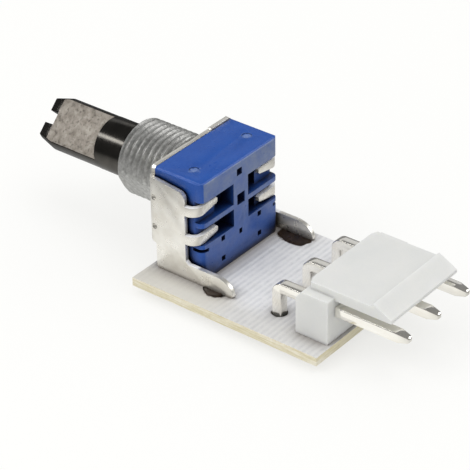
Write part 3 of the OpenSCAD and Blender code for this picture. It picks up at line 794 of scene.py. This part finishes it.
def make_bush():
    """A grid is wrapped into the thread, and closed by its front rim, its bore and its neck."""
    bpy.ops.mesh.primitive_grid_add(x_subdivisions=THREAD_AROUND, y_subdivisions=THREAD_ALONG, size=2.0)
    bush = bpy.context.active_object
    bush.name = "threaded_bush"
    for vertex in bush.data.vertices:
        around = math.pi * (vertex.co.x + 1.0)
        y = (vertex.co.y - 1.0) / 2 * BUSH_LENGTH
        radius = thread_radius(around, y)
        vertex.co = (radius * math.cos(around), y, radius * math.sin(around))
    select_only(bush)
    bpy.ops.object.mode_set(mode="EDIT")
    bpy.ops.mesh.select_all(action="SELECT")
    bpy.ops.mesh.remove_doubles(threshold=0.001 * MM)
    mesh = bmesh.from_edit_mesh(bush.data)

    def ring_at(y):
        bpy.ops.mesh.select_all(action="DESELECT")
        for edge in mesh.edges:
            if edge.is_boundary and all(abs(v.co.y - y) < 0.0001 * MM for v in edge.verts):
                edge.select_set(True)
        mesh.select_flush(True)

    def extruded_ring(radius, y):
        bpy.ops.mesh.extrude_region_move()
        for vertex in mesh.verts:
            if vertex.select:
                flat = Vector((vertex.co.x, 0.0, vertex.co.z)).normalized() * radius
                vertex.co = (flat.x, y, flat.z)

    bpy.context.tool_settings.mesh_select_mode = (False, True, False)
    ring_at(-BUSH_LENGTH)
    extruded_ring(BORE_RADIUS + BORE_CHAMFER, -BUSH_LENGTH)
    extruded_ring(BORE_RADIUS, -BUSH_LENGTH + BORE_CHAMFER)
    extruded_ring(BORE_RADIUS, NECK_END)
    ring_at(0.0)
    extruded_ring(NECK_RADIUS, 0.0)
    extruded_ring(NECK_RADIUS, NECK_END)
    ring_at(NECK_END)
    bpy.ops.mesh.bridge_edge_loops()
    bpy.ops.mesh.select_all(action="SELECT")
    bpy.ops.mesh.normals_make_consistent(inside=False)
    bpy.ops.object.mode_set(mode="OBJECT")
    bpy.ops.object.shade_smooth_by_angle(angle=SMOOTH_BELOW_SOFT)
    dress(bush, "housing", "bush", "bush_metal", ZINC)


# Board

BOARD_TOP = -7.5 * MM
BOARD_EDGE = 0.09 * MM


def make_board():
    """The board's top is cut into strips, and each second line is lifted into a low rib."""
    board = rounded_copy("board", "printed_board", BOARD_EDGE)
    low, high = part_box("board")
    select_only(board)
    bpy.ops.object.mode_set(mode="EDIT")
    strip = RIB_PITCH / 2
    lines = int((high.y - low.y) / strip)
    for k in range(1, lines):
        bpy.ops.mesh.select_all(action="SELECT")
        bpy.ops.mesh.bisect(plane_co=(0.0, low.y + k * strip, 0.0), plane_no=(0.0, 1.0, 0.0))
    bpy.ops.object.mode_set(mode="OBJECT")
    for vertex in board.data.vertices:
        line = (vertex.co.y - low.y) / strip
        on_line = abs(line - round(line)) < 0.001
        if on_line and round(line) % 2 and vertex.co.z > BOARD_TOP - 0.001 * MM:
            vertex.co.z += RIB_HEIGHT
    paint(board, LAMINATE, WHITE_FACE)
    for face in board.data.polygons:
        if face.normal.z > 0.3 and face.center.z > BOARD_TOP - 0.08 * MM:
            face.material_index = 1
        if face.normal.z > 0.9:
            face.use_smooth = False
    dress(board, "housing", "board", "board_laminate")


# Solder

COPPER_BOTTOM = -8.6 * MM
SOLDER_DROP = 0.62 * MM
# Powers that bend a joint's side: how fast it draws in, and how fast it goes down
SOLDER_DRAWN = 2.2
SOLDER_FALL = 0.9
TERMINAL_PLACES = [(i * 2.5 * MM, 2.375 * MM) for i in (-1, 0, 1)]
TERMINAL_PAD = 1.05 * MM
TERMINAL_NECK = 0.5 * MM
LEG_PLACES = [((0.95 + i * 5.08) * MM, 16.3 * MM) for i in (-1, 0, 1)]
LEG_PAD = 1.28 * MM
LEG_NECK = 0.78 * MM


def make_fillets(name, node, places, pad, neck):
    """Concave solder joints, each a curved profile spun round its lead."""
    rings = 7
    steps = 40
    joints = []
    for x, y in places:
        bpy.ops.mesh.primitive_circle_add(vertices=steps, radius=pad, location=(x, y, COPPER_BOTTOM))
        joint = bpy.context.active_object
        bpy.ops.object.transform_apply(location=True, rotation=True, scale=True)
        bpy.ops.object.mode_set(mode="EDIT")
        mesh = bmesh.from_edit_mesh(joint.data)
        bpy.ops.mesh.select_all(action="SELECT")
        for k in range(1, rings + 1):
            share = k / rings
            radius = neck + (pad - neck) * (1.0 - share) ** SOLDER_DRAWN
            drop = SOLDER_DROP * share ** SOLDER_FALL
            bpy.ops.mesh.extrude_region_move()
            for vertex in mesh.verts:
                if vertex.select:
                    flat = Vector((vertex.co.x - x, vertex.co.y - y)).normalized() * radius
                    vertex.co = (x + flat.x, y + flat.y, COPPER_BOTTOM - drop)
        close_ends(mesh)
        joints.append(joint)
    dress(joined(joints, name), "housing", node, "solder", SOLDER)


# Pools of flux in the tabs' oval holes: middle, then half widths, in millimetres
FLUX_POOLS = ((-6.2, 9.1, 1.3, 2.0), (7.0, 8.6, 1.0, 1.2))
FLUX_TOP = -7.38 * MM
FLUX_BOTTOM = -7.62 * MM
# Rings of a pool: share of its width, and share of its height
FLUX_RINGS = ((1.04, 0.55), (1.0, 0.8), (0.9, 1.0), (0.6, 0.86), (0.3, 0.8))


def make_flux_pools():
    """Dried flux round the tabs: low ragged pools, drawn in at the rim and sunk in the middle."""
    steps = 48
    pools = []
    for x, y, half_x, half_y in FLUX_POOLS:
        middle = Vector((x, y, 0.0)) * MM
        bpy.ops.object.select_all(action="DESELECT")
        bpy.ops.mesh.primitive_circle_add(vertices=steps, radius=1.0, location=(0.0, 0.0, 0.0))
        pool = bpy.context.active_object
        bpy.ops.object.mode_set(mode="EDIT")
        bpy.ops.mesh.select_all(action="SELECT")
        mesh = bmesh.from_edit_mesh(pool.data)
        for share, height in FLUX_RINGS:
            bpy.ops.mesh.extrude_region_move()
            for vertex in mesh.verts:
                if vertex.select:
                    around = math.atan2(vertex.co.y, vertex.co.x)
                    vertex.co = (share * math.cos(around), share * math.sin(around), height)
        close_ends(mesh)
        for vertex in pool.data.vertices:
            around = math.atan2(vertex.co.y, vertex.co.x)
            ragged = 1.0 + 0.07 * math.sin(3 * around + x) + 0.04 * math.sin(7 * around + y)
            vertex.co = (
                middle.x + vertex.co.x * half_x * MM * ragged,
                middle.y + vertex.co.y * half_y * MM * ragged,
                FLUX_BOTTOM + vertex.co.z * (FLUX_TOP - FLUX_BOTTOM),
            )
        pools.append(pool)
    piece = joined(pools, "flux_pools")
    paint(piece, FLUX)
    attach(piece, "housing")


# Case, frame and header

CASE_EDGE = 0.09 * MM
SHEET_EDGE = 0.11 * MM
HEADER_EDGE = 0.12 * MM
HEADER_SHARP = 20.0
HEADER_SMOOTH_BELOW = math.radians(16.0)
PIN_EDGE = 0.14 * MM
# Middles of the balls that press the dents, in millimetres
DIMPLES = ((7.05, 0.82, 1.0), (7.05, 0.85, -2.5))
DIMPLE_BALL = 0.36 * MM
DIMPLE_RAISED = 0.16 * MM
# The fine step across the lock wall, and how close to it counts as on it
LIP_FROM = 28.0 * MM
LIP_TO = 28.2 * MM
LOCK_TOP = -1.6 * MM
NEAR = 0.01 * MM


def press_dimples(frame_piece):
    """Two small round dents on the bend between the frame's front and side plates."""
    balls = []
    for x, y, z in DIMPLES:
        place = Vector((x, y, z)) * MM + Vector((DIMPLE_RAISED, 0.0, 0.0))
        bpy.ops.mesh.primitive_ico_sphere_add(subdivisions=3, radius=DIMPLE_BALL, location=place)
        balls.append(bpy.context.active_object)
    for ball in balls:
        apply_modifier(frame_piece, "BOOLEAN", object=ball, operation="DIFFERENCE", solver="EXACT")
    for ball in balls:
        bpy.data.objects.remove(ball)


def on_lip(line):
    """True for the fine step across the lock wall, where its ramp begins."""
    for vertex in line.verts:
        on_step = LIP_FROM - NEAR < vertex.co.y < LIP_TO + NEAR
        if not on_step or vertex.co.z < LOCK_TOP - NEAR:
            return False
    return True


def make_formed_pieces():
    """The case, frame, header and pins keep their CAD form, with rounded edges."""
    case = rounded_copy("case", "blue_case", CASE_EDGE)
    dress(case, "housing", "case", "blue_plastic", BLUE)
    sheet = rounded_copy("frame", "tin_frame", SHEET_EDGE, segments=3)
    press_dimples(sheet)
    select_only(sheet)
    bpy.ops.object.shade_smooth_by_angle(angle=SMOOTH_BELOW)
    dress(sheet, "housing", "frame", "tinned_sheet", TIN)
    housing = merged_copy("header_housing", "white_header")
    round_edges(housing, HEADER_EDGE, segments=3, sharp=HEADER_SHARP, kept=on_lip)
    bpy.ops.object.shade_smooth_by_angle(angle=HEADER_SMOOTH_BELOW)
    dress(housing, "housing", "header_housing", "white_nylon", NYLON)
    for side in ("left", "centre", "right"):
        pin = rounded_copy("header_pin_" + side, "pin_" + side, PIN_EDGE, segments=3)
        dress(pin, "housing", "header_pin_" + side, "pin_metal", PIN)


def finish_inner_nodes():
    """The inner and lower pieces keep their CAD form, with their own finishes."""
    finishes = {
        "board_tracks": COPPER,
        "retaining_ring": SPRING_STEEL,
        "rotor": BLACK,
        "wiper": BRONZE,
        "element_plate": PHENOLIC,
        "resistive_track": CARBON,
        "collector_track": CARBON,
        "silver_leads": SILVER,
        "terminal_rivets": BRONZE,
        "terminal_left": TIN,
        "terminal_centre": TIN,
        "terminal_right": TIN,
        "frame_solder": SOLDER,
    }
    for name, material in finishes.items():
        for slot in nodes[name].material_slots:
            slot.material = material


# Floor and light

FLOOR_SIZE = 3.0
BACKGROUND = screen(250, 250, 248)
WHITE = (1.0, 1.0, 1.0, 1.0)
PAPER = (0.8, 0.8, 0.79, 1.0)
PAPER_SHADE = (0.28, 0.28, 0.277, 1.0)
PAPER_GLOW = 0.735
# Where metal sees the paper bright: the middle, then the distances between which it turns dark
PAPER_MIDDLE = (0.009, 0.012, 0.0)
PAPER_NEAR = 16 * MM
PAPER_FAR = 46 * MM
CEILING_RADIUS = 1.4
CEILING_FOR_METAL = 0.10
SKY_LIGHT = 0.8
LAMP_DISTANCE = 0.5
CARD_DISTANCE = 0.4
LIT_POINT = Vector((0.0, 6.0, 0.0)) * MM


def seen_directly(tree, path):
    """1 for what the camera, metal and clear things see, and 0 for what only lights the part."""
    seen = add_node(tree, "ShaderNodeMath", operation="ADD", use_clamp=True)
    seen_all = add_node(tree, "ShaderNodeMath", operation="ADD", use_clamp=True)
    link(tree, path.outputs["Is Camera Ray"], seen.inputs[0])
    link(tree, path.outputs["Is Glossy Ray"], seen.inputs[1])
    link(tree, seen.outputs["Value"], seen_all.inputs[0])
    link(tree, path.outputs["Is Transmission Ray"], seen_all.inputs[1])
    return seen_all.outputs["Value"]


def make_floor():
    """A pale floor with the part's shadow.

    Metal sees it as bright paper near the part, and as a dark room beyond.
    """
    bpy.ops.mesh.primitive_plane_add(size=FLOOR_SIZE, location=(0.0, 0.0, cad_low.z - 0.02 * MM))
    floor = bpy.context.active_object
    floor.name = "floor"
    material = bpy.data.materials.new("pale_floor")
    material.use_nodes = True
    tree = material.node_tree
    tree.nodes.clear()
    output = add_node(tree, "ShaderNodeOutputMaterial")
    path = add_node(tree, "ShaderNodeLightPath")
    paper = add_node(tree, "ShaderNodeBsdfDiffuse")
    paper.inputs["Color"].default_value = PAPER
    shade = add_node(tree, "ShaderNodeBsdfDiffuse")
    shade.inputs["Color"].default_value = PAPER_SHADE
    glow = add_node(tree, "ShaderNodeEmission")
    glow.inputs["Color"].default_value = BACKGROUND
    glow.inputs["Strength"].default_value = PAPER_GLOW
    bright = add_node(tree, "ShaderNodeAddShader")
    choice = add_node(tree, "ShaderNodeMixShader")
    place = add_node(tree, "ShaderNodeTexCoord")
    reach = add_node(tree, "ShaderNodeVectorMath", operation="DISTANCE")
    reach.inputs[1].default_value = PAPER_MIDDLE
    far = add_node(tree, "ShaderNodeMapRange")
    far.inputs["From Min"].default_value = PAPER_NEAR
    far.inputs["From Max"].default_value = PAPER_FAR
    far_in_metal = add_node(tree, "ShaderNodeMath", operation="MULTIPLY")
    room = add_node(tree, "ShaderNodeEmission")
    room.inputs["Strength"].default_value = CEILING_FOR_METAL
    table = add_node(tree, "ShaderNodeMixShader")
    link(tree, shade.outputs["BSDF"], bright.inputs[0])
    link(tree, glow.outputs["Emission"], bright.inputs[1])
    link(tree, seen_directly(tree, path), choice.inputs["Fac"])
    link(tree, paper.outputs["BSDF"], choice.inputs[1])
    link(tree, bright.outputs["Shader"], choice.inputs[2])
    link(tree, place.outputs["Object"], reach.inputs[0])
    link(tree, reach.outputs["Value"], far.inputs["Value"])
    link(tree, far.outputs["Result"], far_in_metal.inputs[0])
    link(tree, path.outputs["Is Glossy Ray"], far_in_metal.inputs[1])
    link(tree, far_in_metal.outputs["Value"], table.inputs["Fac"])
    link(tree, choice.outputs["Shader"], table.inputs[1])
    link(tree, room.outputs["Emission"], table.inputs[2])
    link(tree, table.outputs["Shader"], output.inputs["Surface"])
    paint(floor, material)


def make_world():
    """Soft white light, with a pale background for the camera, metal and clear things."""
    world = bpy.data.worlds.new("studio")
    bpy.context.scene.world = world
    world.use_nodes = True
    tree = world.node_tree
    tree.nodes.clear()
    output = add_node(tree, "ShaderNodeOutputWorld")
    path = add_node(tree, "ShaderNodeLightPath")
    soft = add_node(tree, "ShaderNodeBackground")
    soft.inputs["Color"].default_value = WHITE
    soft.inputs["Strength"].default_value = SKY_LIGHT
    backdrop = add_node(tree, "ShaderNodeBackground")
    backdrop.inputs["Color"].default_value = BACKGROUND
    choice = add_node(tree, "ShaderNodeMixShader")
    link(tree, seen_directly(tree, path), choice.inputs["Fac"])
    link(tree, soft.outputs["Background"], choice.inputs[1])
    link(tree, backdrop.outputs["Background"], choice.inputs[2])
    link(tree, choice.outputs["Shader"], output.inputs["Surface"])


def seen_in_metal_only(thing, name, strength):
    """The thing glows for metal and gloss, and nothing else sees it."""
    material = bpy.data.materials.new(name)
    material.use_nodes = True
    tree = material.node_tree
    tree.nodes.clear()
    output = add_node(tree, "ShaderNodeOutputMaterial")
    glow = add_node(tree, "ShaderNodeEmission")
    glow.inputs["Color"].default_value = WHITE
    glow.inputs["Strength"].default_value = strength
    link(tree, glow.outputs["Emission"], output.inputs["Surface"])
    paint(thing, material)
    thing.visible_camera = False
    thing.visible_diffuse = False
    thing.visible_shadow = False
    thing.visible_transmission = False


def add_dark_ceiling():
    """A dim dome, as a dark studio round the lamps, so that metal has dark reflections."""
    bpy.ops.mesh.primitive_uv_sphere_add(segments=48, ring_count=24, radius=CEILING_RADIUS)
    dome = bpy.context.active_object
    dome.name = "dark_ceiling"
    seen_in_metal_only(dome, "dark_ceiling", CEILING_FOR_METAL)


def aim(thing, target):
    thing.rotation_euler = (target - thing.location).to_track_quat("-Z", "Y").to_euler()


def add_lamp(name, direction, size, power):
    """A soft round lamp that metal doesn't mirror, because the cards do that."""
    bpy.ops.object.light_add(type="AREA", location=Vector(direction).normalized() * LAMP_DISTANCE)
    lamp = bpy.context.active_object
    lamp.name = name
    lamp.data.shape = "DISK"
    lamp.data.size = size
    lamp.data.energy = power
    lamp.visible_glossy = False
    aim(lamp, LIT_POINT)


def add_card(name, direction, long_axis, width, length, strength):
    """A white card that only metal and gloss see, for their highlights."""
    toward = Vector(direction).normalized()
    bpy.ops.mesh.primitive_plane_add(size=1.0, location=toward * CARD_DISTANCE)
    card = bpy.context.active_object
    card.name = name
    along = (Vector(long_axis) - toward * toward.dot(Vector(long_axis))).normalized()
    across = along.cross(toward)
    turn = Matrix((across * width, along * length, toward)).transposed()
    card.matrix_world = Matrix.Translation(card.location) @ turn.to_4x4()
    seen_in_metal_only(card, name, strength)


def light_the_studio():
    make_world()
    add_dark_ceiling()
    add_lamp("left_lamp", (0.62, -0.40, 0.80), size=0.26, power=0.5)
    add_lamp("top_lamp", (-0.1, 0.25, 1.0), size=0.35, power=0.36)
    add_card(
        "left_card", (0.536, -0.5265, 0.66), long_axis=(0.0, 1.0, 0.0),
        width=0.08, length=0.34, strength=4.6,
    )
    add_card(
        "right_card", (-0.656, 0.54, 0.526), long_axis=(0.0, 0.0, 1.0),
        width=0.26, length=0.22, strength=2.8,
    )
    add_card(
        "back_card", (-0.66, -0.53, 0.50), long_axis=(0.626, -0.78, 0.0),
        width=0.12, length=0.34, strength=0.55,
    )


place_camera()
make_shaft()
make_bush()
make_board()
make_fillets("terminal_joints", "terminal_solder", TERMINAL_PLACES, TERMINAL_PAD, TERMINAL_NECK)
make_fillets("header_joints", "header_solder", LEG_PLACES, LEG_PAD, LEG_NECK)
make_flux_pools()
make_formed_pieces()
finish_inner_nodes()
make_floor()
light_the_studio()

bpy.context.scene.view_settings.view_transform = "Standard"
